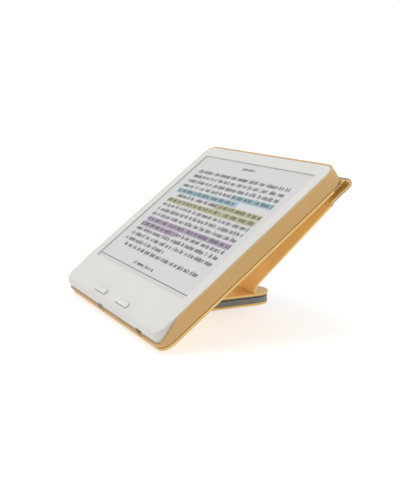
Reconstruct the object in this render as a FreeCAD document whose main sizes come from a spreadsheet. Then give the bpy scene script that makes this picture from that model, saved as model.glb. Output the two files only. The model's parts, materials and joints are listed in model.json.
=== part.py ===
import FreeCAD, Part
import math
import os
import re

# A colour e-reader with a wide grip, lying back in its folding cover.
#
# The reader and the cover's tray are drawn in the reader's own axes and then tilted together:
#   x  along the long side, zero in the middle
#   y  up the face, zero at the lower edge of the screen opening
#   z  out of the face, zero at the visible surface of the screen
# The stand's pieces are drawn upright. The whole model is then moved so that its
# origin is the middle of the bottom of its bounding box.

SIZES = {
    # reader
    "device_width": 161.0, "device_height": 144.6, "device_thickness": 8.3,
    "corner_radius": 8.0, "grip_height": 27.5, "face_level": 0.7,
    "opening_width": 142.9, "opening_height": 107.9,
    "fascia": 1.2, "side_wall": 1.4, "rear_plate": 1.2, "edge_round": 0.8, "grip_round": 3.6,
    # optical stack, from the face down
    "film_gap": 0.1, "film_thick": 0.5, "guide_thick": 0.5, "panel_thick": 0.9,
    "stack_side": 1.6, "stack_top": 1.5, "guide_foot": 1.5, "panel_foot": 5.0,
    "flex_thick": 0.15, "strip_inset": 0.3, "lamp_length": 2.4, "lamp_depth": 0.6, "lamp_thick": 0.4,
    "tail_half": 11.0, "tail_reach": 2.0, "tail_rise": 0.3, "tail_slot": 0.6,
    "seal_thick": 0.3, "seal_width": 1.2,
    # chassis and electronics
    "chassis_thick": 0.8, "chassis_gap": 0.4, "board_gap": 0.8, "board_thick": 0.8,
    "board_width": 144.0, "board_low": -22.5, "board_high": -3.0,
    "battery_width": 90.0, "battery_low": 12.0, "battery_high": 75.0, "battery_thick": 3.2,
    "battery_round": 1.5, "can_wall": 0.2, "can_thick": 1.5,
    "boss_radius": 1.7, "screw_radius": 0.7, "head_radius": 1.5, "head_thick": 0.6,
    "boss_embed": 0.2, "thread_play": 0.05, "screw_play": 0.2,
    "boss_side": 76.3, "boss_low": 15.0, "boss_high": 100.0, "boss_grip_side": 40.0, "boss_grip": -23.9,
    # page-turn buttons
    "button_centre": 18.6, "button_line": -20.3, "button_length": 18.8, "button_width": 3.4,
    "button_proud": 0.9, "button_play": 0.25, "button_flange": 0.9, "flange_thick": 0.45,
    "flange_gap": 0.05, "button_round": 0.45, "dome_radius": 2.0, "dome_thick": 0.3,
    "button_flex_half": 31.0, "button_flex_side": 2.4,
    # power button and charging socket in the lower side wall
    "power_centre": 52.0, "power_length": 6.8, "power_height": 1.6, "power_level": -3.9,
    "power_proud": 0.4, "power_play": 0.15, "collar_margin": 1.0, "collar_gap": 0.1, "collar_thick": 0.5,
    "switch_gap": 0.35, "switch_half": 3.0, "switch_low": 0.9, "switch_high": 0.7,
    "usb_centre": -12.0, "usb_width": 8.9, "usb_height": 3.2, "usb_depth": 7.3, "usb_level": -4.35,
    "usb_play": 0.1, "usb_inset": 0.2, "usb_wall": 0.3, "usb_back": 0.7, "tongue_half": 3.3,
    "tongue_inset": 1.2, "tongue_thick": 0.7, "bay_margin": 0.2,
    # cover
    "tray_play": 0.1, "tray_wall": 1.2, "tray_floor": 1.1, "tray_rim": 0.3, "lip_level": -5.8,
    "bond_thick": 0.5, "bond_inset": 1.2, "notch_height": 2.4, "notch_margin": 2.0, "power_notch_margin": 0.8,
    "sheet_thick": 1.6, "loop_gap": 3.0, "loop_reach": 1.2, "hinge_play": 2.0,
    # lean and stand
    "lean": 37.4, "hinge_along": 102.8, "hinge_level": -14.7,
    "ply_skin": 0.6, "ply_board": 1.0,
    "flap_foot_back": 79.2, "flap_drop": 68.9, "flap_foot_half": 12.5, "flap_strip": 5.0,
    "foot_half": 12.5, "foot_near": 45.0, "foot_far": 94.0, "foot_ply": 2.2, "foot_play": 0.5,
    "pad_half": 12.0, "pad_far": 94.0, "pad_thick": 5.0, "pad_round": 11.8, "fold_gap": 0.8,
    "magnet_radius": 4.0, "magnet_near": 8.0, "magnet_far": 12.0, "heel_gap": 0.1,
    # how far a cutting tool runs past what it cuts
    "overcut": 0.1,
    # how far a round end stops short of a full half circle
    "round_slack": 0.02, "slot_slack": 0.05,
}

doc = FreeCAD.newDocument("EReader")
sheet = doc.addObject("Spreadsheet::Sheet", "Sizes")
for row, (alias, number) in enumerate(SIZES.items(), start=1):
    sheet.set("A%d" % row, alias)
    sheet.set("B%d" % row, str(number))
    sheet.setAlias("B%d" % row, alias)
doc.recompute()

ALIAS = re.compile(r"\b(%s)\b" % "|".join(SIZES))
nodes = []

# ------------------------------------------------------------------ helpers


def bind(item, prop, text):
    """Bind a property to an expression written with the sheet's words."""
    item.setExpression(prop, ALIAS.sub(r"Sizes.\1", str(text)))


def size(text):
    """The value of such an expression, for outlines worked out in code."""
    probe = doc.addObject("App::FeaturePython", "Probe")
    probe.addProperty("App::PropertyFloat", "Value")
    bind(probe, "Value", text)
    probe.recompute()
    number = probe.Value
    doc.removeObject(probe.Name)
    return number


def box(x, y, z):
    """A box from three (low, high) pairs of expressions."""
    item = doc.addObject("Part::Box", "Block")
    for prop, axis, (low, high) in (("Length", "x", x), ("Width", "y", y), ("Height", "z", z)):
        bind(item, prop, "(%s) - (%s)" % (high, low))
        bind(item, "Placement.Base." + axis, low)
    return item


def cylinder(x, y, z, radius):
    """A cylinder along z, z being a (low, high) pair."""
    item = doc.addObject("Part::Cylinder", "Disc")
    bind(item, "Radius", radius)
    bind(item, "Height", "(%s) - (%s)" % (z[1], z[0]))
    bind(item, "Placement.Base.x", x)
    bind(item, "Placement.Base.y", y)
    bind(item, "Placement.Base.z", z[0])
    return item


def fuse(*items):
    item = doc.addObject("Part::MultiFuse", "Union")
    item.Shapes = list(items)
    return item


def group(*items):
    """Separate solids that share one node."""
    item = doc.addObject("Part::Compound", "Group")
    item.Links = list(items)
    return item


def cut(base, *tools):
    item = doc.addObject("Part::Cut", "Difference")
    item.Base = base
    item.Tool = tools[0] if len(tools) == 1 else fuse(*tools)
    return item


def round_edges(base, rule):
    """Fillet every edge for which rule(edge) gives a radius or a (start, end) pair."""
    doc.recompute()
    item = doc.addObject("Part::Fillet", "Round")
    item.Base = base
    chosen = []
    for number, edge in enumerate(base.Shape.Edges, start=1):
        radius = rule(edge)
        if radius:
            start, end = radius if isinstance(radius, tuple) else (radius, radius)
            chosen.append((number, start, end))
    item.Edges = chosen
    return item


def upright(edge):
    """True for a straight edge along z."""
    ends = [vertex.Point for vertex in edge.Vertexes]
    if len(ends) < 2 or not isinstance(edge.Curve, Part.Line):
        return False
    return abs(ends[0].x - ends[1].x) < 1e-6 and abs(ends[0].y - ends[1].y) < 1e-6


def slab(x, y, z, radius):
    """A box whose four upright edges are rounded."""
    corner = size(radius)
    return round_edges(box(x, y, z), lambda edge: corner if upright(edge) else 0)


def outline(inset, z, radius):
    """A slab that follows the reader's outline, moved in by inset."""
    side = "device_width/2 - (%s)" % inset
    return slab(("-(%s)" % side, side),
                ("-grip_height + (%s)" % inset, "device_height - grip_height - (%s)" % inset),
                z, radius)


def pill(x, y, length, width, z):
    """A slab with round ends, lying along x."""
    half_long = "(%s)/2" % length
    half_wide = "(%s)/2" % width
    return slab(("%s - %s" % (x, half_long), "%s + %s" % (x, half_long)),
                ("%s - %s" % (y, half_wide), "%s + %s" % (y, half_wide)),
                z, "%s - round_slack" % half_wide)


def wall_slot(x, z, width, height, y):
    """A block through the lower side wall with its edges along y rounded."""
    block = box(("%s - (%s)/2" % (x, width), "%s + (%s)/2" % (x, width)), y,
                ("%s - (%s)/2" % (z, height), "%s + (%s)/2" % (z, height)))
    corner = size("(%s)/2 - slot_slack" % height)

    def along_y(edge):
        ends = [vertex.Point for vertex in edge.Vertexes]
        return corner if abs(ends[0].y - ends[1].y) > 1e-6 else 0

    return round_edges(block, along_y)


def extruded(points, x_low, x_high, smooth):
    """A Part::Feature: an outline in the y-z plane, pulled along x.

    The straight points come first, and a curve closes the outline through the smooth ones.
    """
    vectors = [FreeCAD.Vector(x_low, y, z) for y, z in points]
    edges = [Part.LineSegment(a, b).toShape() for a, b in zip(vectors, vectors[1:])]
    curve = Part.BSplineCurve()
    curve.interpolate([vectors[-1]] + [FreeCAD.Vector(x_low, y, z) for y, z in smooth] + [vectors[0]])
    edges.append(curve.toShape())
    face = Part.Face(Part.Wire(edges))
    item = doc.addObject("Part::Feature", "Extrusion")
    item.Shape = face.extrude(FreeCAD.Vector(x_high - x_low, 0, 0))
    return item


def padded(label, points, low, high, arcs=()):
    """A PartDesign body: a flat outline in its own x-y plane, padded from low to high.

    arcs lists the corners, by number, that are rounded by pad_round.
    """
    body = doc.addObject("PartDesign::Body", label)
    sketch = body.newObject("Sketcher::SketchObject", label + "Outline")
    ground = [plane for plane in body.Origin.OriginFeatures if plane.Role == "XY_Plane"][0]
    sketch.AttachmentSupport = [(ground, "")]
    sketch.MapMode = "FlatFace"
    bind(sketch, "AttachmentOffset.Base.z", low)
    for start, end in zip(points, points[1:] + points[:1]):
        sketch.addGeometry(Part.LineSegment(FreeCAD.Vector(*start, 0), FreeCAD.Vector(*end, 0)))
    pad = body.newObject("PartDesign::Pad", label + "Pad")
    pad.Profile = sketch
    bind(pad, "Length", "(%s) - (%s)" % (high, low))
    sketch.Visibility = False
    doc.recompute()
    if arcs:
        names = []
        for number, edge in enumerate(pad.Shape.Edges, start=1):
            if upright(edge):
                spot = edge.Vertexes[0].Point
                if any(math.dist((spot.x, spot.y), points[corner]) < 1e-6 for corner in arcs):
                    names.append("Edge%d" % number)
        rounding = body.newObject("PartDesign::Fillet", label + "Corners")
        rounding.Base = (pad, names)
        bind(rounding, "Radius", "pad_round")
        body.Tip = rounding
    return body


def plate(label, points, low, high, placement, arcs=()):
    """A padded outline that is a node by itself."""
    node(padded(label, points, low, high, arcs), label, placement)


def node(item, label, placement):
    """Give a finished sub-part its name and its place."""
    if item.ExpressionEngine:
        item = group(item)
    doc.recompute()
    item.Label = label
    item.Placement = placement
    nodes.append(item)


lean = math.radians(SIZES["lean"])
X_AXIS = FreeCAD.Vector(1, 0, 0)
LEANING = FreeCAD.Placement(FreeCAD.Vector(), FreeCAD.Rotation(X_AXIS, SIZES["lean"]))


def leaning_point(y, z):
    """Where a point of the reader's axes lies in the upright axes, as (y, z)."""
    return (y * math.cos(lean) - z * math.sin(lean), y * math.sin(lean) + z * math.cos(lean))


# ------------------------------------------------------------------ levels, from the face down

BACK = "(face_level - device_thickness)"
REAR_TOP = "(%s + rear_plate)" % BACK
FASCIA_LOW = "(face_level - fascia)"
GUIDE_LOW = "(%s - guide_thick)" % FASCIA_LOW
PANEL_LOW = "(%s - panel_thick)" % GUIDE_LOW
CHASSIS_LOW = "(%s - chassis_thick)" % PANEL_LOW
BOARD_TOP = "(%s - board_gap)" % CHASSIS_LOW
BOARD_LOW = "(%s - board_thick)" % BOARD_TOP
WALL_FACE = "-grip_height"
WALL_INNER = "(side_wall - grip_height)"
BUTTONS = (("page_button_left", "-button_centre"), ("page_button_right", "button_centre"))
BOSSES = [("%s*boss_side" % side, level) for side in ("-1", "1") for level in ("boss_low", "boss_high")]
BOSSES += [("%s*boss_grip_side" % side, "boss_grip") for side in ("-1", "1")]

# Where the small inner parts sit: x and y as (low, high) pairs, then the thickness.
CHIPS = (((-50.5, -37.5), (-19.5, -6.5), 1.0), ((-31.5, -22.5), (-13.5, -4.5), 0.9),
         ((2.5, 13.5), (-18.5, -7.5), 1.1), ((53.5, 60.5), (-14.5, -7.5), 0.8),
         ((-63, -57), (-13, -7), 0.7))
CAN = ((28, 46), (-20, -6))
RADIO = ((31, 43), (-18, -8), 1.0)
SENSOR = ((-69, -66), (-18, -16), 0.8)
LEAD = (20, 24)
AERIAL = ((70, 76), (14, 44))
LAMPS = range(-63, 64, 18)

# ------------------------------------------------------------------ reader: shells


def front_housing():
    """The white moulded front: fascia and side walls in one piece."""
    foot = size(WALL_FACE)
    face = size("face_level")
    plain = size("edge_round")
    rolled = size("grip_round")
    shell = outline("0", (REAR_TOP, "face_level"), "corner_radius")

    def roll(edge):
        """The grip's long edge is rolled off more than the other three."""
        bounds = edge.BoundBox
        if abs(bounds.ZMin - face) > 1e-6 or bounds.ZLength > 1e-6:
            return 0
        if bounds.YMin > foot + size("corner_radius"):
            return plain
        if isinstance(edge.Curve, Part.Line):
            return rolled if bounds.XLength > bounds.YLength else plain
        first, last = edge.Vertexes[0].Point, edge.Vertexes[-1].Point
        return (rolled, plain) if first.y < last.y else (plain, rolled)

    shell = round_edges(shell, roll)
    cavity = outline("side_wall", ("%s - overcut" % REAR_TOP, FASCIA_LOW), "corner_radius - side_wall")
    window = box(("-opening_width/2", "opening_width/2"), ("0", "opening_height"),
                 ("%s - overcut" % FASCIA_LOW, "face_level + 1"))
    holes = [pill(x, "button_line", "button_length + 2*button_play", "button_width + 2*button_play",
                  ("%s - overcut" % FASCIA_LOW, "face_level + 1")) for _, x in BUTTONS]
    through = ("%s - 1" % WALL_FACE, "%s + overcut" % WALL_INNER)
    power_hole = wall_slot("power_centre", "power_level", "power_length + 2*power_play",
                           "power_height + 2*power_play", through)
    usb_hole = wall_slot("usb_centre", "usb_level", "usb_width + 2*usb_play", "usb_height + usb_play", through)
    hollow = cut(shell, cavity, window, power_hole, usb_hole, *holes)
    bosses = [cylinder(x, y, (PANEL_LOW, "%s + boss_embed" % FASCIA_LOW), "boss_radius") for x, y in BOSSES]
    depth = ("%s - overcut" % PANEL_LOW, "%s - overcut" % FASCIA_LOW)
    bores = [cylinder(x, y, depth, "screw_radius + thread_play")
             for x, y in BOSSES]
    node(cut(fuse(hollow, *bosses), *bores), "front_housing", LEANING)


def rear_housing():
    """The flat back plate, with its outer edge rounded."""
    plain = size("edge_round")
    back = size(BACK)
    shell = outline("0", (BACK, REAR_TOP), "corner_radius")

    def outer(edge):
        bounds = edge.BoundBox
        return plain if abs(bounds.ZMax - back) < 1e-6 else 0

    node(round_edges(shell, outer), "rear_housing", LEANING)


def seal():
    """The adhesive gasket inside the joint of the two shells."""
    band = (REAR_TOP, "%s + seal_thick" % REAR_TOP)
    tool = ("%s - overcut" % REAR_TOP, "%s + seal_thick + overcut" % REAR_TOP)
    ring = cut(outline("side_wall", band, "corner_radius - side_wall"),
               outline("side_wall + seal_width", tool, "corner_radius - side_wall - seal_width"))
    node(ring, "perimeter_seal", LEANING)


# ------------------------------------------------------------------ reader: screen


def screen():
    """Cover film, light guide, light strip, e-paper panel and its flex."""
    film_side = "(opening_width/2 - film_gap)"
    film = box(("-%s" % film_side, film_side), ("film_gap", "opening_height - film_gap"),
               (FASCIA_LOW, "%s + film_thick" % FASCIA_LOW))
    node(film, "cover_film", LEANING)
    side = "(opening_width/2 + stack_side)"
    high = "opening_height + stack_top"
    guide = box(("-%s" % side, side), ("-guide_foot", high), (GUIDE_LOW, FASCIA_LOW))
    node(guide, "light_guide", LEANING)
    strip = box(("-%s" % side, side), ("-panel_foot + strip_inset", "-guide_foot - lamp_depth"),
                (GUIDE_LOW, "%s + flex_thick" % GUIDE_LOW))
    lamps = [box(("%g - lamp_length/2" % x, "%g + lamp_length/2" % x),
                 ("-guide_foot - lamp_depth", "-guide_foot"),
                 (GUIDE_LOW, "%s + lamp_thick" % GUIDE_LOW)) for x in LAMPS]
    node(group(strip, *lamps), "light_strip", LEANING)
    panel = box(("-%s" % side, side), ("-panel_foot", high), (PANEL_LOW, GUIDE_LOW))
    node(panel, "display_panel", LEANING)
    tail_low = "(%s + tail_rise)" % PANEL_LOW
    tail_top = "(%s + flex_thick)" % tail_low
    across = ("-tail_half", "tail_half")
    tail = box(across, ("-panel_foot - tail_reach", "-panel_foot"), (tail_low, tail_top))
    drop = box(across, ("-panel_foot - tail_reach", "-panel_foot - tail_reach + flex_thick"),
               (BOARD_TOP, tail_top))
    node(fuse(tail, drop), "display_flex", LEANING)


# ------------------------------------------------------------------ reader: inside


def chassis():
    """The metal plate that carries the screen, board and battery."""
    base = outline("side_wall + chassis_gap", (CHASSIS_LOW, PANEL_LOW),
                   "corner_radius - side_wall - chassis_gap")
    span = ("%s - overcut" % CHASSIS_LOW, "%s + overcut" % PANEL_LOW)
    holes = [cylinder(x, y, span, "screw_radius + screw_play") for x, y in BOSSES]
    slot = box(("-tail_half - 1", "tail_half + 1"),
               ("-panel_foot - tail_reach - tail_slot", "-panel_foot - tail_reach + tail_slot + overcut"), span)
    node(cut(base, slot, *holes), "chassis_plate", LEANING)
    screws = []
    for x, y in BOSSES:
        head = cylinder(x, y, ("%s - head_thick" % CHASSIS_LOW, CHASSIS_LOW), "head_radius")
        shank = cylinder(x, y, (CHASSIS_LOW, "%s - boss_embed" % FASCIA_LOW), "screw_radius")
        screws.append(fuse(head, shank))
    node(group(*screws), "chassis_screws", LEANING)


def under_board(x, y, thick):
    """A part soldered under the board, from its (low, high) pairs and its thickness."""
    return box(x, y, ("%s - (%s)" % (BOARD_LOW, thick), BOARD_LOW))


def electronics():
    """Main board with its parts, battery, lead, antenna and sensor."""
    board = box(("-board_width/2", "board_width/2"), ("board_low", "board_high"), (BOARD_LOW, BOARD_TOP))
    usb_bay = box(("usb_centre - usb_width/2 - bay_margin", "usb_centre + usb_width/2 + bay_margin"),
                  ("board_low - 1", "%s + usb_inset + usb_depth + bay_margin" % WALL_FACE),
                  ("%s - 1" % BOARD_LOW, "%s + 1" % BOARD_TOP))
    node(cut(board, usb_bay), "main_board", LEANING)
    node(group(*[under_board(*chip) for chip in CHIPS]), "board_chips", LEANING)
    (left, right), (low, high) = CAN
    hollow = box(("%g + can_wall" % left, "%g - can_wall" % right),
                 ("%g + can_wall" % low, "%g - can_wall" % high),
                 ("%s - can_thick + can_wall" % BOARD_LOW, "%s + overcut" % BOARD_LOW))
    node(cut(under_board(*CAN, "can_thick"), hollow), "shield_can", LEANING)
    node(under_board(*RADIO), "radio_module", LEANING)
    node(under_board(*SENSOR), "cover_sensor", LEANING)
    cell = slab(("-battery_width/2", "battery_width/2"), ("battery_low", "battery_high"),
                ("%s - battery_thick" % CHASSIS_LOW, CHASSIS_LOW), "battery_round")
    node(cell, "battery", LEANING)
    lead = box(LEAD, ("board_high - 3", "battery_low"), (BOARD_TOP, "%s + 0.5" % BOARD_TOP))
    node(lead, "battery_lead", LEANING)
    aerial = box(*AERIAL, (REAR_TOP, "%s + flex_thick" % REAR_TOP))
    node(aerial, "antenna", LEANING)


def usb_socket():
    """The charging socket: a rounded metal shell round a tongue."""
    mouth = "(%s + usb_inset)" % WALL_FACE
    reach = (mouth, "%s + usb_depth" % mouth)
    shell = wall_slot("usb_centre", "usb_level", "usb_width", "usb_height", reach)
    hollow = wall_slot("usb_centre", "usb_level", "usb_width - 2*usb_wall", "usb_height - 2*usb_wall",
                       ("%s - 1" % mouth, "%s + usb_depth - usb_back" % mouth))
    tongue = box(("usb_centre - tongue_half", "usb_centre + tongue_half"),
                 ("%s + tongue_inset" % WALL_FACE, "%s + usb_depth - usb_back + overcut" % mouth),
                 ("usb_level - tongue_thick/2", "usb_level + tongue_thick/2"))
    node(fuse(cut(shell, hollow), tongue), "usb_socket", LEANING)


# ------------------------------------------------------------------ reader: buttons


def buttons():
    """Two page buttons over their dome switches, and the power button."""
    crown = size("face_level + button_proud")
    flange_top = "%s - flange_gap" % FASCIA_LOW
    rounding = SIZES["button_round"]
    flange_low = "%s - flange_thick" % flange_top
    for label, x in BUTTONS:
        cap = pill(x, "button_line", "button_length", "button_width", (flange_low, "face_level + button_proud"))
        cap = round_edges(cap, lambda edge: rounding if abs(edge.BoundBox.ZMin - crown) < 1e-6 else 0)
        flange = pill(x, "button_line", "button_length + 2*button_flange", "button_width + 2*button_flange",
                      (flange_low, flange_top))
        node(fuse(cap, flange), label, LEANING)
    flex_top = "(%s + flex_thick)" % PANEL_LOW
    flex = box(("-button_flex_half", "button_flex_half"),
               ("button_line - button_flex_side", "button_line + button_flex_side"), (PANEL_LOW, flex_top))
    node(flex, "button_flex", LEANING)
    domes = [cylinder(x, "button_line", (flex_top, "%s + dome_thick" % flex_top), "dome_radius")
             for _, x in BUTTONS]
    node(group(*domes), "button_domes", LEANING)
    collar_back = "%s + collar_gap + collar_thick" % WALL_INNER
    cap = wall_slot("power_centre", "power_level", "power_length", "power_height",
                    ("%s - power_proud" % WALL_FACE, collar_back))
    collar = box(("power_centre - power_length/2 - collar_margin",
                  "power_centre + power_length/2 + collar_margin"),
                 ("%s + collar_gap" % WALL_INNER, collar_back),
                 ("power_level - collar_margin", "power_level + collar_margin"))
    node(fuse(cap, collar), "power_button", LEANING)
    switch = box(("power_centre - switch_half", "power_centre + switch_half"),
                 ("%s + switch_gap" % collar_back, "board_low"),
                 ("power_level - switch_low", "power_level + switch_high"))
    node(switch, "power_switch", LEANING)


# ------------------------------------------------------------------ cover: tray and back

TRAY_OUT = "(-tray_play - tray_wall)"
TRAY_INNER = "(%s - tray_play)" % BACK
TRAY_LOW = "(%s - tray_floor)" % TRAY_INNER
SHEET_TOP = "(%s - bond_thick)" % TRAY_LOW
SHEET_LOW = "(%s - sheet_thick)" % SHEET_TOP
LOOP_LOW_TOP = "(%s - loop_gap)" % SHEET_LOW
LOOP_LOW = "(%s - sheet_thick)" % LOOP_LOW_TOP
TRAY_HIGH = "(device_height - grip_height + tray_play + tray_wall)"


# The curve of the side walls from the flush part down to the lip: distance up the face from the
# grip's edge, and height from the face.
DROP_CURVE = ((23.0, 0.1), (18.0, -0.3), (12.5, -2.0), (6.0, -4.0))


def tray_shell():
    """The moulded tray: flush walls on three sides, dropping in an S to a low lip at the grip."""
    outer = outline(TRAY_OUT, (TRAY_LOW, "tray_rim"), "corner_radius + tray_play + tray_wall")
    inner = outline("-tray_play", (TRAY_INNER, "face_level + 1"), "corner_radius + tray_play")
    lip = size("lip_level")
    face = size("face_level")
    grip = size(WALL_FACE)
    side = size("device_width/2 + 5")
    top, head = DROP_CURVE[0]
    drop = extruded([(grip + 1, lip), (grip - 5, lip), (grip - 5, face + 2), (grip + top, face + 2),
                     (grip + top, face + head)], -side, side,
                    smooth=[(grip + along, face + level) for along, level in DROP_CURVE[1:]])
    wall = ("%s - 5" % WALL_FACE, "%s + 1" % WALL_FACE)
    usb_notch = wall_slot("usb_centre", "lip_level", "usb_width + 2*notch_margin", "notch_height", wall)
    power_notch = wall_slot("power_centre", "lip_level", "power_length + 2*power_notch_margin",
                            "notch_height", wall)
    node(cut(outer, inner, drop, usb_notch, power_notch), "tray_shell", LEANING)


def tray_bond():
    """The bond between tray and sheet, set in from the edge so that a groove shows all round."""
    node(outline("%s + bond_inset" % TRAY_OUT, (SHEET_TOP, TRAY_LOW), "corner_radius"), "tray_bond", LEANING)


def back_sheet():
    """The cover's back, bonded under the tray."""
    side = "(device_width/2 + tray_play + tray_wall)"
    square = box(("-%s" % side, side), ("-grip_height - tray_play - tray_wall", "%s - loop_reach" % TRAY_HIGH),
                 (SHEET_LOW, SHEET_TOP))
    corner = size("corner_radius + tray_play + tray_wall")

    def lower(edge):
        return corner if upright(edge) and edge.Vertexes[0].Point.y < 0 else 0

    node(round_edges(square, lower), "back_sheet", LEANING)


def spine_loop():
    """The cover's spine: it leaves the tray's top edge, turns under and runs back to the stand's hinge."""
    start = size("%s - loop_reach" % TRAY_HIGH)
    top = size(SHEET_TOP)
    under = size(SHEET_LOW)
    low_top = size(LOOP_LOW_TOP)
    low = size(LOOP_LOW)
    middle = (under + low_top) / 2
    end = size("hinge_along + hinge_play")
    side = size("device_width/2 + tray_play + tray_wall")

    def spot(y, z):
        return FreeCAD.Vector(-side, y, z)

    outer = (top - low) / 2
    inner = (under - low_top) / 2
    edges = [Part.LineSegment(spot(start, under), spot(start, top)).toShape(),
             Part.Arc(spot(start, top), spot(start + outer, middle), spot(start, low)).toShape(),
             Part.LineSegment(spot(start, low), spot(end, low)).toShape(),
             Part.LineSegment(spot(end, low), spot(end, low_top)).toShape(),
             Part.LineSegment(spot(end, low_top), spot(start, low_top)).toShape(),
             Part.Arc(spot(start, low_top), spot(start + inner, middle), spot(start, under)).toShape()]
    item = doc.addObject("Part::Feature", "SpineLoop")
    item.Shape = Part.Face(Part.Wire(edges)).extrude(FreeCAD.Vector(2 * side, 0, 0))
    node(item, "spine_loop", LEANING)


# ------------------------------------------------------------------ cover: folding stand

HINGE_Y, HINGE_Z = leaning_point(SIZES["hinge_along"], SIZES["hinge_level"])
GROUND = leaning_point(size("-grip_height - tray_play - tray_wall"), size(SHEET_LOW))[1]
FOOT_TOP = HINGE_Z - SIZES["flap_drop"]


def flap():
    """The stand's flap: a board between a skin and a lining, tapering from the spine to the foot."""
    run = math.hypot(SIZES["flap_drop"], HINGE_Y - SIZES["flap_foot_back"])
    turn = math.degrees(math.atan2(-SIZES["flap_drop"], SIZES["flap_foot_back"] - HINGE_Y))
    place = FreeCAD.Placement(FreeCAD.Vector(0, HINGE_Y, HINGE_Z), FreeCAD.Rotation(X_AXIS, turn))
    wide = size("device_width/2 + tray_play + tray_wall")
    narrow = SIZES["flap_foot_half"]
    top = SIZES["hinge_play"]
    strip = run - SIZES["flap_strip"]
    end = run - SIZES["foot_play"]
    points = [(-wide, top), (-narrow, strip), (-narrow, end), (narrow, end), (narrow, strip), (wide, top)]
    plate("flap_skin", points, "-ply_board/2 - ply_skin", "-ply_board/2", place)
    plate("flap_board", points, "-ply_board/2", "ply_board/2", place)
    plate("flap_lining", points, "ply_board/2", "ply_board/2 + ply_skin", place)


def foot():
    """The foot: an upper plate that the flap stands on, folded back over a thick pad."""
    near, far = SIZES["foot_near"], SIZES["foot_far"]
    half = SIZES["foot_half"]
    place = FreeCAD.Placement(FreeCAD.Vector(0, 0, FOOT_TOP), FreeCAD.Rotation())
    points = [(-half, near), (-half, far), (half, far), (half, near)]
    plate("foot_skin", points, "-ply_skin", "0", place, arcs=(1, 2))
    plate("foot_lining", points, "-foot_ply", "-ply_skin - ply_board", place, arcs=(1, 2))
    blank = padded("foot_blank", points, "-ply_skin - ply_board", "-ply_skin", arcs=(1, 2))
    discs = []
    for along in (near + SIZES["magnet_near"], far - SIZES["magnet_far"]):
        disc = doc.addObject("Part::Cylinder", "Magnet")
        bind(disc, "Radius", "magnet_radius")
        bind(disc, "Height", "ply_board")
        bind(disc, "Placement.Base.z", "-ply_skin - ply_board")
        disc.Placement.Base.y = along
        discs.append(disc)
    holes = fuse(*[doc.copyObject(disc) for disc in discs])
    node(cut(blank, holes), "foot_board", place)
    node(group(*discs), "foot_magnets", place)


def pad():
    """The pad under the foot, which meets the table."""
    near, far = SIZES["foot_near"], SIZES["pad_far"]
    half = SIZES["pad_half"]
    place = FreeCAD.Placement(FreeCAD.Vector(0, 0, GROUND), FreeCAD.Rotation())
    points = [(-half, near), (-half, far), (half, far), (half, near)]
    plate("pad_sole", points, "0", "ply_skin", place, arcs=(1, 2))
    plate("pad_core", points, "ply_skin", "pad_thick - ply_skin", place, arcs=(1, 2))
    plate("pad_lining", points, "pad_thick - ply_skin", "pad_thick", place, arcs=(1, 2))


# ------------------------------------------------------------------ build, check and write

for build in (front_housing, rear_housing, seal, screen, chassis, electronics, usb_socket, buttons,
              tray_shell, tray_bond, back_sheet, spine_loop, flap, foot, pad):
    build()
doc.recompute()

whole = FreeCAD.BoundBox()
for item in nodes:
    whole.add(item.Shape.optimalBoundingBox(False, False))
shift = FreeCAD.Vector(0, -(whole.YMin + whole.YMax) / 2, -GROUND)
for item in nodes:
    item.Placement = FreeCAD.Placement(shift, FreeCAD.Rotation()).multiply(item.Placement)
doc.recompute()

for item in doc.Objects:
    if "Invalid" in item.State or "Error" in item.State:
        raise RuntimeError("%s (%s) did not build" % (item.Label, item.Name))
os.makedirs("parts", exist_ok=True)
for item in nodes:
    shape = item.Shape
    if shape.isNull() or not shape.isValid() or not shape.Solids:
        raise RuntimeError("%s has no valid solid" % item.Label)
    shape.exportStep(os.path.join("parts", item.Label + ".step"))

print("%d nodes" % len(nodes))
print("box", [round(v, 2) for v in (whole.XLength, whole.YLength, whole.ZMax - GROUND)])
print("shift", round(shift.y, 4), round(shift.z, 4), "lowest", round(whole.ZMin - GROUND, 4))
print("stand hinge", round(HINGE_Y + shift.y, 4), round(HINGE_Z + shift.z, 4))
heel = SIZES["flap_foot_back"] + SIZES["ply_board"] / 2 + SIZES["ply_skin"] + SIZES["heel_gap"]
print("foot hinge", round(heel + shift.y, 4), round(FOOT_TOP + shift.z, 4))
fold = FOOT_TOP - SIZES["foot_ply"] - SIZES["fold_gap"] / 2
print("pad hinge", round(SIZES["foot_near"] + shift.y, 4), round(fold + shift.z, 4))
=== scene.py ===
import json
import math
import random

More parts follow.
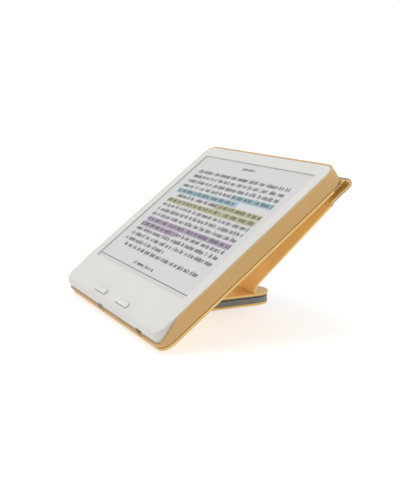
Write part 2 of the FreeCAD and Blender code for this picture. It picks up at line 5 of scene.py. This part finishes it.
import bmesh
import bpy
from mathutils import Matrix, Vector


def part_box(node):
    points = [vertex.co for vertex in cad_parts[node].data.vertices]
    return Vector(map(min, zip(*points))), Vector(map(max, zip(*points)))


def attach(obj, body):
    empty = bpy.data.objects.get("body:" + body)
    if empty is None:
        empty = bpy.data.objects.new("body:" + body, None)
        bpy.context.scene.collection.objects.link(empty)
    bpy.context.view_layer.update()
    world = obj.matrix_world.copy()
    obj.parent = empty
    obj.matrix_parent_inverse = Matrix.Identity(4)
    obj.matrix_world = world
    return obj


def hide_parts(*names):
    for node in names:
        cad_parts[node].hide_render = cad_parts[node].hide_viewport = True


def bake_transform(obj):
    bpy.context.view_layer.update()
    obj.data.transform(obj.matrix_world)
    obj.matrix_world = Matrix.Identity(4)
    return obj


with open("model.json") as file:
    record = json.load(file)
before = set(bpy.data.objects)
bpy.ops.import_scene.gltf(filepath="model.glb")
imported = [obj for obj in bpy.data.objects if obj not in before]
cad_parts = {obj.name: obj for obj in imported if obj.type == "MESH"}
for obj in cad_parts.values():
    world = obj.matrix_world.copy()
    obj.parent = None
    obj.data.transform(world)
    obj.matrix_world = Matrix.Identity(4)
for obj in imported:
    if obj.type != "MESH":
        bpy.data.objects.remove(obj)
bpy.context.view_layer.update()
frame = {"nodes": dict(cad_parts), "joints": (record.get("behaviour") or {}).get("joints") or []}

MM = 0.001
NODES = frame["nodes"]

# The reader leans back by this angle about X. Its own axes are X, UP_FACE and OUT.
LEAN = math.radians(37.4)
UP_FACE = Vector((0.0, math.cos(LEAN), math.sin(LEAN)))
OUT = Vector((0.0, -math.sin(LEAN), math.cos(LEAN)))

# Sizes in millimetres, in the reader's axes: zero at the middle of the screen opening's lower edge.
TRAY_HALF = 81.8
SHEET_TOP = -9.3
SHEET_THICK = 1.6
LOOP_GAP = 3.0
FILM_GAP = 0.1
EDGE_BEVEL = 0.4


def joint(name):
    return next(entry for entry in frame["joints"] if entry["name"] == name)


def screen_origin():
    """The zero of the reader's axes, found from the film, which fills the opening."""
    film = NODES["cover_film"].data.vertices
    low = min(vertex.co.dot(UP_FACE) for vertex in film)
    high = max(vertex.co.dot(OUT) for vertex in film)
    return UP_FACE * (low - FILM_GAP * MM) + OUT * high


ORIGIN = screen_origin()


def spot(x, along, level):
    """A point given in the reader's axes, in millimetres."""
    return ORIGIN + (Vector((x, 0, 0)) + UP_FACE * along + OUT * level) * MM


# ---------------------------------------------------------------- materials


def material(name, colour, roughness, **sockets):
    """A Principled material. Other sockets are given by name, with _ for a space."""
    made = bpy.data.materials.new(name)
    made.use_nodes = True
    shader = made.node_tree.nodes["Principled BSDF"]
    shader.inputs["Base Color"].default_value = (*colour, 1)
    shader.inputs["Roughness"].default_value = roughness
    for key, value in sockets.items():
        shader.inputs[key.replace("_", " ")].default_value = value
    return made


def add(made, kind, **settings):
    item = made.node_tree.nodes.new(kind)
    for key, value in settings.items():
        if key in item.inputs:
            item.inputs[key].default_value = value
        else:
            setattr(item, key, value)
    return item


def link(made, source, output, target, socket):
    made.node_tree.links.new(source.outputs[output], target.inputs[socket])


def noise(made, scale, detail=3.0):
    """Object-space noise, so that a pattern rides with its piece."""
    place = add(made, "ShaderNodeTexCoord")
    texture = add(made, "ShaderNodeTexNoise", Scale=scale, Detail=detail)
    link(made, place, "Object", texture, "Vector")
    return texture


def bump(made, texture, output, strength, distance):
    item = add(made, "ShaderNodeBump", Strength=strength, Distance=distance)
    link(made, texture, output, item, "Height")
    link(made, item, "Normal", made.node_tree.nodes["Principled BSDF"], "Normal")


def vary(made, texture, output, low, high, socket="Base Color", span=(0.35, 0.65)):
    """Colour or roughness that runs between two values with a texture."""
    ramp = add(made, "ShaderNodeValToRGB")
    ramp.color_ramp.elements[0].position, ramp.color_ramp.elements[1].position = span
    for element, value in zip(ramp.color_ramp.elements, (low, high)):
        element.color = (*value, 1) if isinstance(value, tuple) else (value, value, value, 1)
    link(made, texture, output, ramp, "Fac")
    link(made, ramp, "Color", made.node_tree.nodes["Principled BSDF"], socket)


def moulded(name, low, high, roughness, mottle=26.0, wear=90.0, grain=2600.0, glossier=0.05, duller=0.06):
    """Fine-grained moulded plastic with a slight mottle. Mottle, wear and grain are noise scales."""
    made = material(name, high, roughness)
    vary(made, noise(made, mottle), "Fac", low, high)
    bump(made, noise(made, grain, detail=2.0), "Fac", strength=0.12, distance=0.04 * MM)
    vary(made, noise(made, wear), "Fac", roughness - glossier, roughness + duller, "Roughness")
    return made


def leatherette(name, low, high, mottle=38.0, grain=900.0):
    """Coated cover material: a cell grain like fine leather over a soft mottle."""
    made = material(name, high, roughness=0.55, Sheen_Weight=0.12)
    place = add(made, "ShaderNodeTexCoord")
    cells = add(made, "ShaderNodeTexVoronoi", Scale=grain, feature="DISTANCE_TO_EDGE")
    link(made, place, "Object", cells, "Vector")
    vary(made, noise(made, mottle), "Fac", low, high)
    bump(made, cells, "Distance", strength=0.35, distance=0.08 * MM)
    return made


def microfibre(name, low, high, mottle=1500.0, pile=2600.0):
    """Short brushed pile."""
    made = material(name, high, roughness=0.92, Sheen_Weight=0.35)
    vary(made, noise(made, mottle), "Fac", low, high)
    bump(made, noise(made, pile), "Fac", strength=0.5, distance=0.1 * MM)
    return made


def paper(name, low, high, speckle=3200.0, grain=5200.0):
    """The e-paper page: very fine speckle under an anti-glare film."""
    made = material(name, high, roughness=0.42)
    vary(made, noise(made, speckle, detail=1.0), "Fac", low, high)
    bump(made, noise(made, grain, detail=1.0), "Fac", strength=0.05, distance=0.02 * MM)
    return made


def metal(name, colour, roughness, grain=700.0):
    """Bare metal with a fine grain."""
    made = material(name, colour, roughness, Metallic=1.0)
    bump(made, noise(made, grain, detail=2.0), "Fac", strength=0.1, distance=0.03 * MM)
    return made


WHITE = moulded("white_housing", (0.665, 0.655, 0.632), (0.69, 0.68, 0.657), 0.42)
BUTTON = moulded("white_button", (0.68, 0.675, 0.655), (0.71, 0.705, 0.685), 0.36)
TRAY = moulded("yellow_tray", (0.60, 0.365, 0.125), (0.65, 0.395, 0.14), 0.40)
COVER = leatherette("yellow_cover", (0.80, 0.525, 0.165), (0.88, 0.58, 0.19))
LINING = microfibre("grey_lining", (0.17, 0.178, 0.176), (0.22, 0.23, 0.225))
PAGE = paper("page", (0.60, 0.60, 0.60), (0.63, 0.63, 0.63))
INK = moulded("ink", (0.022, 0.022, 0.022), (0.04, 0.04, 0.04), 0.6)
BLUE = paper("mark_blue", (0.26, 0.42, 0.47), (0.29, 0.46, 0.51))
OLIVE = paper("mark_olive", (0.42, 0.395, 0.22), (0.46, 0.43, 0.25))
PURPLE = paper("mark_purple", (0.36, 0.28, 0.385), (0.40, 0.32, 0.425))
BLACK = moulded("black_parts", (0.012, 0.012, 0.013), (0.03, 0.03, 0.032), 0.5)
PANEL = moulded("panel_edge", (0.22, 0.22, 0.22), (0.28, 0.28, 0.28), 0.6)
BOARD = moulded("solder_mask", (0.008, 0.06, 0.025), (0.012, 0.09, 0.035), 0.35)
FLEX = moulded("flex_film", (0.35, 0.14, 0.02), (0.45, 0.2, 0.03), 0.3)
FOIL = moulded("battery_foil", (0.06, 0.065, 0.07), (0.1, 0.105, 0.11), 0.4)
FIBRE = moulded("fibre_board", (0.16, 0.12, 0.07), (0.22, 0.17, 0.1), 0.8)
STEEL = metal("steel", (0.55, 0.56, 0.58), 0.32)
ALLOY = metal("alloy", (0.62, 0.63, 0.65), 0.45)
BOND = moulded("seam_bond", (0.10, 0.055, 0.018), (0.14, 0.08, 0.025), 0.7)
CLEAR = material("clear_guide", (0.85, 0.88, 0.9), 0.1, Transmission_Weight=0.9)

FINISH = {
    WHITE: ("front_housing", "rear_housing"),
    BUTTON: ("page_button_left", "page_button_right"),
    PAGE: ("cover_film",),
    TRAY: ("tray_shell",),
    COVER: ("back_sheet", "flap_skin", "foot_skin", "pad_sole", "spine_loop"),
    LINING: ("flap_lining", "foot_lining", "pad_lining", "pad_core"),
    PANEL: ("display_panel", "perimeter_seal"),
    BLACK: ("board_chips", "cover_sensor", "power_button", "power_switch"),
    BOARD: ("main_board", "radio_module"),
    FLEX: ("light_strip", "display_flex", "battery_lead", "antenna", "button_flex"),
    FOIL: ("battery",),
    FIBRE: ("flap_board", "foot_board"),
    STEEL: ("chassis_screws", "shield_can", "button_domes", "usb_socket", "foot_magnets"),
    ALLOY: ("chassis_plate",),
    BOND: ("tray_bond",),
    CLEAR: ("light_guide",),
}


def finish_nodes():
    """Gives each CAD node its material, in the one material slot that it has."""
    for made, names in FINISH.items():
        for name in names:
            NODES[name].material_slots[0].material = made


# ---------------------------------------------------------------- mesh helpers


def show(name, data):
    """A new object in the scene."""
    item = bpy.data.objects.new(name, data)
    bpy.context.scene.collection.objects.link(item)
    return item


def block(work, x, along, level):
    """Adds a box, given as (low, high) pairs in the reader's axes, to a bmesh."""
    corners = [work.verts.new(spot(a, b, c)) for c in level for b in along for a in x]
    for face in ((0, 2, 3, 1), (4, 5, 7, 6), (0, 1, 5, 4), (2, 6, 7, 3), (0, 4, 6, 2), (1, 3, 7, 5)):
        work.faces.new([corners[i] for i in face])


def from_bmesh(name, work, made, body=None):
    """A new piece, which rides on a body if one is given, and on none otherwise."""
    mesh = bpy.data.meshes.new(name)
    bmesh.ops.recalc_face_normals(work, faces=work.faces[:])
    work.to_mesh(mesh)
    work.free()
    item = show(name, mesh)
    mesh.materials.append(made)
    if body:
        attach(item, body)
    return item


def bevel(item, width, segments, angle=35.0):
    """Rounds the sharp edges by a modifier, width in millimetres."""
    edge = item.modifiers.new("edge", "BEVEL")
    edge.width = width * MM
    edge.segments = segments
    edge.limit_method = "ANGLE"
    edge.angle_limit = math.radians(angle)
    edge.harden_normals = True


def soften(piece, width, segments, angle=35.0):
    """Smooth shading and rounded edges for a new piece."""
    for face in piece.data.polygons:
        face.use_smooth = True
    bevel(piece, width, segments, angle)


def soften_nodes(*names):
    """The same for CAD nodes, by modifiers alone, so that their own meshes stay as they are."""
    group = bpy.data.node_groups.new("shade_smooth", "GeometryNodeTree")
    for way in ("INPUT", "OUTPUT"):
        group.interface.new_socket(name="Geometry", in_out=way, socket_type="NodeSocketGeometry")
    start = group.nodes.new("NodeGroupInput")
    smooth = group.nodes.new("GeometryNodeSetShadeSmooth")
    end = group.nodes.new("NodeGroupOutput")
    group.links.new(start.outputs["Geometry"], smooth.inputs["Geometry"])
    group.links.new(smooth.outputs["Geometry"], end.inputs["Geometry"])
    for name in names:
        NODES[name].modifiers.new("smooth", "NODES").node_group = group
        bevel(NODES[name], EDGE_BEVEL, segments=3)


# ---------------------------------------------------------------- the page

# Sizes in millimetres. HEAD and FOOTER are (left, right, base line, scale), and MARK_SPAN and
# RULE_SPAN are (low, high), the marks' from a line's base.
PAGE_LEFT = -60.0
PAGE_RIGHT = 62.5
FIRST_LINE = 91.6
LINE_PITCH = 5.05
LETTER_PITCH = 1.72
LETTER_WIDTH = 1.3
SECOND_STROKE = 0.84
STROKE = 0.46
BAR = 0.4
DESCENT = 0.75
SMALL_LETTER = 2.35
TALL_LETTER = 3.4
WORD_GAP = 1.9
LEAST_WORD = 1.5
WORD_LENGTHS = (2, 2, 3, 3, 4, 4, 5, 6, 7, 8)
HEAD = (-9.0, 9.0, 101.3, 0.72)
FOOTER = (-18.0, 13.0, 6.8, 0.8)
MARK_SIDE = 0.6
MARK_SPAN = (-1.25, 3.3)
RULE_START = -70.2
RULE_SPAN = (3.1, 3.7)
RULE_DASHES = 118
DASH_PITCH = 1.2
DASH_LENGTH = 0.8
INK_TOP = 0.045
MARK_TOP = 0.02
PAGE_SEED = 7
# How often a letter is tall, goes below the line, has a second stroke, and has its bar at the foot.
TALL_SHARE = 0.28
DESCENDER_SHARE = 0.1
SECOND_SHARE = 0.78
LOW_BAR_SHARE = 0.4

# Each line of the page: where it starts and ends, as parts of the column, and its marks, each as
# (material, start, end).
LINES = (
    (0.0, 1.0, ()),
    (0.0, 1.0, ()),
    (0.0, 1.0, ()),
    (0.0, 1.0, ((BLUE, 0.595, 1.0),)),
    (0.0, 0.69, ((BLUE, 0.0, 0.70),)),
    (0.06, 1.0, ((OLIVE, 0.525, 1.0),)),
    (0.0, 1.0, ((OLIVE, 0.0, 1.0),)),
    (0.0, 1.0, ()),
    (0.0, 1.0, ()),
    (0.0, 1.0, ()),
    (0.0, 1.0, ((PURPLE, 0.02, 1.0),)),
    (0.0, 1.0, ((PURPLE, 0.0, 0.45),)),
    (0.0, 1.0, ()),
    (0.0, 1.0, ()),
    (0.0, 0.52, ()),
    (0.06, 1.0, ()),
)


def word_marks(work, dice, left, right, base, scale=1.0):
    """A run of made-up words: upright strokes joined by a bar, which spell nothing."""
    x = left
    while x < right - LEAST_WORD * scale:
        for _ in range(dice.choice(WORD_LENGTHS)):
            if x > right - LETTER_WIDTH * scale:
                break
            tall = dice.random() < TALL_SHARE
            low = base - (DESCENT * scale if dice.random() < DESCENDER_SHARE else 0.0)
            height = TALL_LETTER if tall else SMALL_LETTER
            stroke = STROKE * scale
            block(work, (x, x + stroke), (low, base + height * scale), (0.0, INK_TOP))
            if dice.random() < SECOND_SHARE:
                second = x + SECOND_STROKE * scale
                block(work, (second, second + stroke), (base, base + SMALL_LETTER * scale), (0.0, INK_TOP))
                bar = base + (0.0 if dice.random() < LOW_BAR_SHARE else SMALL_LETTER - BAR) * scale
                block(work, (x + stroke, second), (bar, bar + BAR * scale), (0.0, INK_TOP))
            x += LETTER_PITCH * scale
        x += WORD_GAP * scale


def page():
    """The page on the screen: running head, body lines with highlighter marks, footer and dotted rule."""
    dice = random.Random(PAGE_SEED)
    ink = bmesh.new()
    column = PAGE_RIGHT - PAGE_LEFT
    marks = {BLUE: bmesh.new(), OLIVE: bmesh.new(), PURPLE: bmesh.new()}
    for row, (start, end, coloured) in enumerate(LINES):
        base = FIRST_LINE - row * LINE_PITCH
        word_marks(ink, dice, PAGE_LEFT + start * column, PAGE_LEFT + end * column, base)
        for colour, first, last in coloured:
            block(marks[colour],
                  (PAGE_LEFT - MARK_SIDE + first * column, PAGE_LEFT + MARK_SIDE + last * column),
                  (base + MARK_SPAN[0], base + MARK_SPAN[1]), (0.0, MARK_TOP))
    word_marks(ink, dice, *HEAD)
    word_marks(ink, dice, *FOOTER)
    from_bmesh("page_words", ink, INK, "reader")
    for colour, work in marks.items():
        from_bmesh(colour.name, work, colour, "reader")
    rule = bmesh.new()
    for step in range(RULE_DASHES):
        x = RULE_START + step * DASH_PITCH
        block(rule, (x, x + DASH_LENGTH), RULE_SPAN, (0.0, INK_TOP))
    from_bmesh("page_rule", rule, INK, "reader")


# ---------------------------------------------------------------- the spine and folds

# How far the sheet lies flat before its turn, the points where it runs back under the turn, and its
# last points down the flap, in millimetres.
BEFORE_TURN = (10.0, 7.0, 4.0)
UNDER_TURN = (113.5, 110.5, 107.5, 105.0, 103.7)
ON_FLAP = (1.2, 2.2, 3.6)
TURN_STEPS = 16
STRIP_COLUMNS = 8
STRIP_BEVEL = 0.22
SPINE_INSET = 0.1
# The skin's and the lining's two faces, as distances from the sheet's middle.
SKIN_FACES = (-0.8, 0.25)
LINING_FACES = (0.27, 0.8)

HINGE = Vector(joint("stand_hinge")["pos_m"])
# The flap board's points this near its lowest one are its lower edge.
FOOT_BAND = 0.5


def flap_axes():
    """Down the flap and out of its back face."""
    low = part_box("flap_board")[0]
    foot = [vertex.co for vertex in NODES["flap_board"].data.vertices if vertex.co.z < low.z + FOOT_BAND * MM]
    end = sum(foot, Vector()) / len(foot)
    down = Vector((0, end.y - HINGE.y, end.z - HINGE.z))
    length = down.length
    down.normalize()
    return down, Vector((0, -down.z, down.y)), length


DOWN, BEHIND, FLAP_LENGTH = flap_axes()
FLAP_TOP = 2.0
FLAP_STRIP = 4.5
FLAP_TAPER_END = FLAP_LENGTH / MM - FLAP_STRIP
FLAP_FOOT_HALF = 12.5


def flap_half(along):
    """Half the flap's width at a distance below the hinge, in millimetres."""
    part = (along - FLAP_TOP) / (FLAP_TAPER_END - FLAP_TOP)
    return TRAY_HALF + (FLAP_FOOT_HALF - TRAY_HALF) * min(1.0, max(0.0, part))


def spine_path():
    """The middle of the cover sheet, from under the tray's edge round to the flap, with its half-widths."""
    under = SHEET_TOP - SHEET_THICK - LOOP_GAP / 2
    middle = SHEET_TOP - SHEET_THICK / 2
    radius = middle - under
    top = max(vertex.co.dot(UP_FACE) for vertex in NODES["spine_loop"].data.vertices)
    turn_at = (top - ORIGIN.dot(UP_FACE)) / MM - radius - SHEET_THICK / 2
    points = [spot(0, turn_at - back, middle) for back in BEFORE_TURN]
    centre = spot(0, turn_at, under)
    for step in range(TURN_STEPS + 1):
        turn = math.pi / 2 - math.pi * step / TURN_STEPS
        points.append(centre + (UP_FACE * math.cos(turn) + OUT * math.sin(turn)) * (radius * MM))
    for along in UNDER_TURN:
        points.append(spot(0, along, under - radius))
    halves = [TRAY_HALF] * len(points)
    for step in ON_FLAP:
        points.append(HINGE + DOWN * (step * MM))
        halves.append(flap_half(step) - SPINE_INSET)
    return points, halves


def strip_along(name, path, halves, inner, outer, made):
    """A closed strip along a path: inner and outer are its two faces' distances from the path."""
    work = bmesh.new()
    count = len(path)
    shares = [part / STRIP_COLUMNS for part in range(-STRIP_COLUMNS, STRIP_COLUMNS + 1)]
    rings = []
    for i, point in enumerate(path):
        ahead = path[min(i + 1, count - 1)] - path[max(i - 1, 0)]
        normal = Vector((0, -ahead.z, ahead.y)).normalized()
        rows = []
        for distance in (inner, outer):
            centre = point + normal * (distance * MM)
            rows.append([work.verts.new(centre + Vector((share * halves[i] * MM, 0, 0))) for share in shares])
        rings.append(rows)
    last = len(shares) - 1
    for here, there in zip(rings, rings[1:]):
        for j in range(last):
            work.faces.new((here[0][j], here[0][j + 1], there[0][j + 1], there[0][j]))
            work.faces.new((here[1][j + 1], here[1][j], there[1][j], there[1][j + 1]))
        work.faces.new((here[1][0], here[0][0], there[0][0], there[1][0]))
        work.faces.new((here[0][last], here[1][last], there[1][last], there[0][last]))
    for ring in (rings[0], rings[-1]):
        for j in range(last):
            work.faces.new((ring[0][j], ring[1][j], ring[1][j + 1], ring[0][j + 1]))
    piece = from_bmesh(name, work, made)
    soften(piece, STRIP_BEVEL, segments=2)
    return piece


def spine():
    """The sheet that runs from the tray round the loop to the flap, bending at the stand hinge."""
    path, halves = spine_path()
    for name, faces, made in (("spine_skin", SKIN_FACES, COVER), ("spine_lining", LINING_FACES, LINING)):
        piece = strip_along(name, path, halves, *faces, made)
        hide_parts("spine_loop")
        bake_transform(piece)


# ---------------------------------------------------------------- the flap, the foot and the pad

PLY_COLUMNS = 12
PLY_BEVEL = 0.4
PLY_BEVEL_SHARE = 0.4
RIPPLE = 0.05
FLAP_ROWS = 24
FLAP_COVER_FACES = (-1.1, 0.75)
FLAP_FELT_FACES = (0.76, 1.1)
FLAP_FELT_INSET = 1.6
FLAP_FELT_START = FLAP_TOP + 0.5
FLAP_FELT_SHORT = 0.8
FOOT_ROUND = 11.8
FOOT_STEPS = (0.0, 4.0, 10.0, 17.0, 24.0, 31.0)
ROUND_STEPS = 8
FOOT_FELT = 0.8
FOOT_FELT_INSET = 0.3
PAD_COVER = 1.4
PAD_FELT_INSET = 0.25
# How much a ply stops short of the one above it, so that the two don't share a face.
SHARE_GAP = 0.01


def ply(name, rows, faces, made, body, replaced, drop):
    """A soft-edged ply. Rows are (middle, half-width) down its length, and faces its two faces along drop."""
    low, high = faces
    work = bmesh.new()
    shares = [part / PLY_COLUMNS for part in range(-PLY_COLUMNS, PLY_COLUMNS + 1)]
    last = len(shares) - 1
    dice = random.Random(name)
    layers = []
    for level in (low, high):
        layer = []
        for i, (point, half) in enumerate(rows):
            line = []
            for j, share in enumerate(shares):
                inside = 0 < i < len(rows) - 1 and 0 < j < last
                ripple = dice.uniform(-RIPPLE, RIPPLE) if inside else 0.0
                across = Vector((share * half * MM, 0, 0))
                line.append(work.verts.new(point + across + drop * ((level + ripple) * MM)))
            layer.append(line)
        layers.append(layer)
    count = len(rows)
    for i in range(count - 1):
        for j in range(last):
            for layer in layers:
                work.faces.new((layer[i][j], layer[i][j + 1], layer[i + 1][j + 1], layer[i + 1][j]))
        for j in (0, last):
            work.faces.new((layers[0][i][j], layers[1][i][j], layers[1][i + 1][j], layers[0][i + 1][j]))
    for i in (0, count - 1):
        for j in range(last):
            work.faces.new((layers[0][i][j], layers[1][i][j], layers[1][i][j + 1], layers[0][i][j + 1]))
    piece = from_bmesh(name, work, made, body)
    soften(piece, min(PLY_BEVEL, (high - low) * PLY_BEVEL_SHARE), segments=3, angle=50.0)
    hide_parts(*replaced)


def flap():
    """The flap: its skin wraps over the board's edges, and its lining is set in from them."""
    def rows(inset, first, last):
        steps = [first + (last - first) * part / FLAP_ROWS for part in range(FLAP_ROWS + 1)]
        return [(HINGE + DOWN * (step * MM), flap_half(step) - inset) for step in steps]

    end = FLAP_LENGTH / MM
    ply("flap_cover", rows(0.0, FLAP_TOP, end), FLAP_COVER_FACES, COVER, "flap",
        ("flap_skin", "flap_board"), BEHIND)
    ply("flap_felt", rows(FLAP_FELT_INSET, FLAP_FELT_START, end - FLAP_FELT_SHORT), FLAP_FELT_FACES, LINING,
        "flap", ("flap_lining",), BEHIND)


def foot_rows(low, high, inset):
    """Rows from the fold to the rounded far end of a foot plate."""
    half = high.x / MM - inset
    length = (high.y - low.y) / MM - inset
    corner = FOOT_ROUND - inset
    rows = [(along, half) for along in (*FOOT_STEPS, length - corner)]
    for step in range(1, ROUND_STEPS + 1):
        turn = math.pi / 2 * step / ROUND_STEPS
        rows.append((length - corner + corner * math.sin(turn), half - corner + corner * math.cos(turn)))
    return [(Vector((0, low.y + along * MM, 0)), width) for along, width in rows]


def foot():
    """The foot's upper plate and the thick pad folded under it."""
    rise = Vector((0, 0, 1))
    low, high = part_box("foot_board")
    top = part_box("foot_skin")[1].z / MM
    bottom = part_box("foot_lining")[0].z / MM
    ply("foot_cover", foot_rows(low, high, 0.0), (bottom + FOOT_FELT, top), COVER, "foot",
        ("foot_skin", "foot_board", "foot_magnets"), rise)
    ply("foot_felt", foot_rows(low, high, FOOT_FELT_INSET), (bottom, bottom + FOOT_FELT - SHARE_GAP), LINING,
        "foot", ("foot_lining",), rise)
    low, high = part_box("pad_core")
    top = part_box("pad_lining")[1].z / MM
    ply("pad_felt", foot_rows(low, high, PAD_FELT_INSET), (PAD_COVER, top), LINING, "pad",
        ("pad_lining", "pad_core"), rise)
    ply("pad_cover", foot_rows(low, high, 0.0), (0.0, PAD_COVER - SHARE_GAP), COVER, "pad",
        ("pad_sole",), rise)


# ---------------------------------------------------------------- stage, lights and camera

CAMERA_SPOT = Vector((0.50296, -0.20082, 0.12347))
LOOK = Vector((-0.88126, 0.43053, -0.19499))
SENSOR = 36.0
FOCAL = 63.36
CLIP_START = 0.01


def camera():
    """The camera, placed from the zero of the reader's axes."""
    data = bpy.data.cameras.new("camera")
    data.lens = FOCAL
    data.sensor_width = SENSOR
    data.clip_start = CLIP_START
    item = show("camera", data)
    item.location = ORIGIN + CAMERA_SPOT
    item.rotation_euler = LOOK.to_track_quat("-Z", "Y").to_euler()
    bpy.context.scene.camera = item


def soft_sun(name, source, strength, spread):
    """A wide distant light shining from a direction."""
    data = bpy.data.lights.new(name, "SUN")
    data.energy = strength
    data.angle = math.radians(spread)
    item = show(name, data)
    item.rotation_euler = Vector(source).to_track_quat("Z", "Y").to_euler()


# The room is dimmer toward DIM_SIDE. Its brightness falls from the first value to the second as a
# direction's part along DIM_SIDE grows from the first of DIM_SHARES to the second.
DIM_SIDE = (0.72, -0.62, -0.1)
DIM_SHARES = (-0.1, 0.75)
BRIGHTNESS = (1.02, 0.35)
FLOOR_REACH = 30.0
FLOOR_COLOUR = (0.45, 0.45, 0.45)
FLOOR_ROUGHNESS = 0.9
FLOOR_GLOW = 0.62
WHITE_LIGHT = (1, 1, 1, 1)
KEY_SOURCE = (-0.35, -0.25, 1.0)
KEY_STRENGTH = 0.9
KEY_SPREAD = 40.0


def stage():
    """A pale floor that runs out of view, in a white room that is dimmer on the side toward DIM_SIDE."""
    mesh = bpy.data.meshes.new("floor")
    work = bmesh.new()
    corners = ((-1, -1), (1, -1), (1, 1), (-1, 1))
    work.faces.new([work.verts.new((x * FLOOR_REACH, y * FLOOR_REACH, 0)) for x, y in corners])
    work.to_mesh(mesh)
    work.free()
    floor = show("floor", mesh)
    floor.data.materials.append(material("floor", FLOOR_COLOUR, FLOOR_ROUGHNESS, Emission_Color=WHITE_LIGHT,
                                         Emission_Strength=FLOOR_GLOW))
    world = bpy.data.worlds.new("studio")
    world.use_nodes = True
    backdrop = world.node_tree.nodes["Background"]
    backdrop.inputs["Color"].default_value = WHITE_LIGHT
    direction = world.node_tree.nodes.new("ShaderNodeTexCoord")
    toward = world.node_tree.nodes.new("ShaderNodeVectorMath")
    toward.operation = "DOT_PRODUCT"
    toward.inputs[1].default_value = DIM_SIDE
    fade = world.node_tree.nodes.new("ShaderNodeMapRange")
    fade.inputs["From Min"].default_value, fade.inputs["From Max"].default_value = DIM_SHARES
    fade.inputs["To Min"].default_value, fade.inputs["To Max"].default_value = BRIGHTNESS
    world.node_tree.links.new(direction.outputs["Generated"], toward.inputs[0])
    world.node_tree.links.new(toward.outputs["Value"], fade.inputs["Value"])
    world.node_tree.links.new(fade.outputs["Result"], backdrop.inputs["Strength"])
    bpy.context.scene.world = world
    soft_sun("key", KEY_SOURCE, KEY_STRENGTH, KEY_SPREAD)
    bpy.context.scene.view_settings.view_transform = "Standard"


camera()
finish_nodes()
page()
spine()
flap()
foot()
soften_nodes("tray_shell", "back_sheet")
stage()
